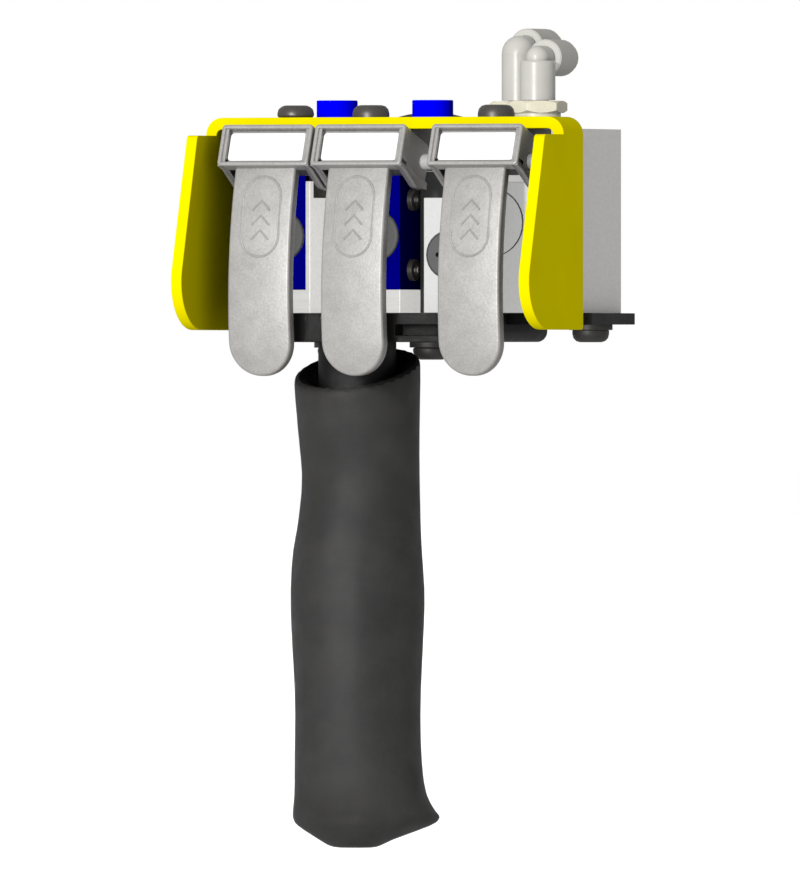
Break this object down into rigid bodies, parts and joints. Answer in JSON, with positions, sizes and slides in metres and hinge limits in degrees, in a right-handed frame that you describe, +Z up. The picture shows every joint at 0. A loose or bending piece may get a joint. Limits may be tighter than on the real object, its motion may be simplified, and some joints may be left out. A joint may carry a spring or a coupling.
{
  "type": "pneumatic control handle",
  "caption": "Squeeze-lever pneumatic control handle: yellow guard, valve block, curved finger levers, hose elbows and a rubber pistol-style grip.",
  "frame": {"origin": "centre of the manifold block's rear face", "axes": "+X to the operator's right, +Y out of the rear face (levers face -Y), +Z up, away from the grip"},
  "size_m": [0.1084, 0.0796, 0.2231],
  "materials": {
    "yellow_paint": "satin",
    "aluminium": "satin",
    "black_paint": "satin",
    "black_steel": "satin",
    "steel": "brushed",
    "rubber": "matte",
    "cast_grey": "cast",
    "label_white": "satin",
    "grey_plastic": "satin",
    "blue_anodised": "anodised",
    "nickel": "plated",
    "white_plastic": "satin",
    "lime_plastic": "satin"
  },
  "bodies": {
    "housing": {"guard": "yellow_paint", "manifold": "aluminium", "base_plate": "black_paint", "handle_flange": "black_paint", "guard_screw_1": "black_steel", "guard_screw_2": "black_steel", "guard_screw_3": "black_steel", "base_screw_1": "black_steel", "base_screw_2": "black_steel", "base_screw_3": "black_steel", "base_washer_1": "steel", "base_washer_2": "steel", "base_washer_3": "steel", "handle_tube": "black_steel", "grip": "rubber", "lever_bracket_1": "grey_plastic", "lever_bracket_2": "grey_plastic", "lever_bracket_3": "grey_plastic", "bracket_bolt_1": "black_steel", "bracket_bolt_2": "black_steel", "bracket_bolt_3": "black_steel", "pivot_pin_left": "steel", "pivot_pin_right": "steel", "valve_body_1": "blue_anodised", "valve_body_2": "blue_anodised", "valve_spring_1": "steel", "valve_spring_2": "steel", "valve_screw_1a": "black_steel", "valve_screw_1b": "black_steel", "valve_screw_2a": "black_steel", "valve_screw_2b": "black_steel", "valve_bracket_1": "aluminium", "valve_bracket_2": "aluminium", "lock_valve_body": "aluminium", "lock_cartridge": "aluminium", "lock_spring": "steel", "port_plug": "grey_plastic", "dome_cap": "black_paint", "fitting_base_right": "nickel", "fitting_base_left": "nickel"},
    "left_lever": {"lever_1": "cast_grey", "lever_label_1": "label_white", "lever_pad_1": "steel"},
    "middle_lever": {"lever_2": "cast_grey", "lever_label_2": "label_white", "lever_pad_2": "steel"},
    "right_lever": {"lever_3": "cast_grey", "lever_label_3": "label_white", "lever_pad_3": "steel"},
    "left_button": {"valve_button_1": "grey_plastic", "valve_spool_1": "steel"},
    "middle_button": {"valve_button_2": "grey_plastic", "valve_spool_2": "steel"},
    "plunger": {"lock_plunger": "grey_plastic"},
    "left_knob": {"flow_knob_1": "blue_anodised"},
    "right_knob": {"flow_knob_2": "blue_anodised"},
    "right_elbow": {"fitting_elbow_right": "white_plastic"},
    "left_elbow": {"fitting_elbow_left": "white_plastic"},
    "right_collet": {"fitting_collet_right": "lime_plastic"},
    "left_collet": {"fitting_collet_left": "lime_plastic"}
  },
  "joints": [
    {"name": "left_lever_squeeze", "type": "hinge", "parent": "housing", "child": "left_lever", "pos_m": [-0.0318, -0.0455, 0.016], "axis": [1, 0, 0], "range_deg": [0, 4.5], "stiffness_Nm_per_rad": 0.5, "springref_deg": -6.88},
    {"name": "middle_lever_squeeze", "type": "hinge", "parent": "housing", "child": "middle_lever", "pos_m": [-0.0039, -0.0455, 0.016], "axis": [1, 0, 0], "range_deg": [0, 4.5], "stiffness_Nm_per_rad": 0.5, "springref_deg": -6.88},
    {"name": "right_lever_squeeze", "type": "hinge", "parent": "housing", "child": "right_lever", "pos_m": [0.031, -0.0455, 0.016], "axis": [1, 0, 0], "range_deg": [0, 4.5], "stiffness_Nm_per_rad": 0.5, "springref_deg": -6.88},
    {"name": "left_button_press", "type": "slide", "parent": "housing", "child": "left_button", "axis": [0, 1, 0], "range_m": [0, 0.0016], "deforming": ["valve_spring_1"]},
    {"name": "middle_button_press", "type": "slide", "parent": "housing", "child": "middle_button", "axis": [0, 1, 0], "range_m": [0, 0.0016], "deforming": ["valve_spring_2"]},
    {"name": "plunger_press", "type": "slide", "parent": "housing", "child": "plunger", "axis": [0, 1, 0], "range_m": [0, 0.0013], "deforming": ["lock_spring"]},
    {"name": "left_knob_turn", "type": "hinge", "parent": "housing", "child": "left_knob", "pos_m": [-0.0247, -0.0226, 0.03], "axis": [0, 0, 1], "range_deg": [0, 340]},
    {"name": "right_knob_turn", "type": "hinge", "parent": "housing", "child": "right_knob", "pos_m": [0.004, -0.0226, 0.03], "axis": [0, 0, 1], "range_deg": [0, 340]},
    {"name": "right_elbow_swivel", "type": "hinge", "parent": "housing", "child": "right_elbow", "pos_m": [0.034, -0.0194, 0.04], "axis": [0, 0, 1], "range_deg": [-120, 0]},
    {"name": "left_elbow_swivel", "type": "hinge", "parent": "housing", "child": "left_elbow", "pos_m": [0.0228, -0.0071, 0.04], "axis": [0, 0, 1], "range_deg": [0, 140]},
    {"name": "right_collet_release", "type": "slide", "parent": "right_elbow", "child": "right_collet", "axis": [0, -1, 0], "range_m": [0, 0.0008], "stiffness_N_per_m": 200, "springref_m": -0.001},
    {"name": "left_collet_release", "type": "slide", "parent": "left_elbow", "child": "left_collet", "axis": [0, -1, 0], "range_m": [0, 0.0008], "stiffness_N_per_m": 200, "springref_m": -0.001}
  ],
  "couplings": [
    {"joint": "left_button_press", "follows": "left_lever_squeeze", "m_per_rad": 0.02},
    {"joint": "middle_button_press", "follows": "middle_lever_squeeze", "m_per_rad": 0.02},
    {"joint": "plunger_press", "follows": "right_lever_squeeze", "m_per_rad": 0.0165}
  ]
}
